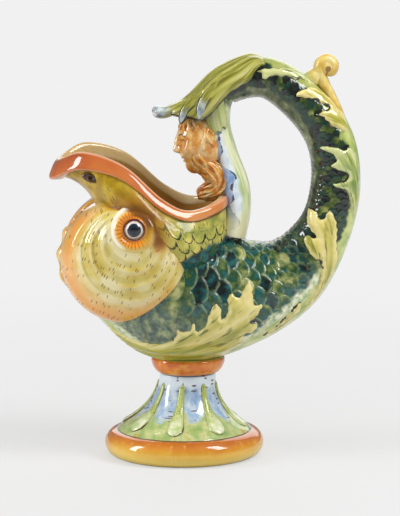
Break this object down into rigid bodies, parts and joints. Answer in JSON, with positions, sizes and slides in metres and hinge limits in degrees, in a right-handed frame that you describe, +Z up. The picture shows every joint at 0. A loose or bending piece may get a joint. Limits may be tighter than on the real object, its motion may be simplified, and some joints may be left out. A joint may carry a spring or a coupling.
{
  "type": "dolphin pitcher",
  "caption": "Glazed earthenware pitcher in the form of a fish: its open beak pours, its tail loops up as the handle over a mask, and it stands on a flared round foot.",
  "frame": {"origin": "bottom centre of the pitcher's bounding box, on the surface that the base ring stands on", "axes": "+Z up, the pitcher's height; -X towards the tip of the spout; Y across, so the XZ plane halves the fish"},
  "size_m": [0.2442, 0.129, 0.3204],
  "materials": {
    "foot_glaze": "glossy yellow-orange glaze",
    "pedestal_glaze": "glossy glaze, blue and green panels between pale drops",
    "scale_glaze": "glossy sea-green glaze with painted scales",
    "spout_glaze": "glossy yellow-green glaze, brown inside",
    "rim_glaze": "glossy rust-orange glaze",
    "neck_glaze": "glossy pale-blue glaze",
    "hood_glaze": "glossy yellow-green glaze with brushed veins",
    "mask_glaze": "glossy ochre glaze with brown accents",
    "cheek_glaze": "glossy cream glaze with yellow-green grooves",
    "eye_glaze": "glossy dark-blue and white glaze",
    "eye_ring_glaze": "glossy orange glaze with brushed rays",
    "leaf_glaze": "glossy pale-yellow glaze with olive streaks"
  },
  "bodies": {
    "root": {"base_ring": "foot_glaze", "pedestal": "pedestal_glaze", "collar": "foot_glaze", "body": "scale_glaze", "spout": "spout_glaze", "rim_band": "rim_glaze", "tail": "scale_glaze", "neck": "neck_glaze", "hood_leaf": "hood_glaze", "mask": "mask_glaze", "beard": "mask_glaze", "curl": "foot_glaze", "snout_ridge": "cheek_glaze", "left_cheek": "cheek_glaze", "right_cheek": "cheek_glaze", "left_eye": "eye_glaze", "right_eye": "eye_glaze", "left_eye_ring": "eye_ring_glaze", "right_eye_ring": "eye_ring_glaze", "left_nostril": "rim_glaze", "right_nostril": "rim_glaze", "left_belly_leaf": "leaf_glaze", "right_belly_leaf": "leaf_glaze", "left_lower_tail_leaf": "leaf_glaze", "right_lower_tail_leaf": "leaf_glaze", "left_middle_tail_leaf": "leaf_glaze", "right_middle_tail_leaf": "leaf_glaze", "left_upper_tail_leaf": "leaf_glaze", "right_upper_tail_leaf": "leaf_glaze"}
  },
  "joints": []
}
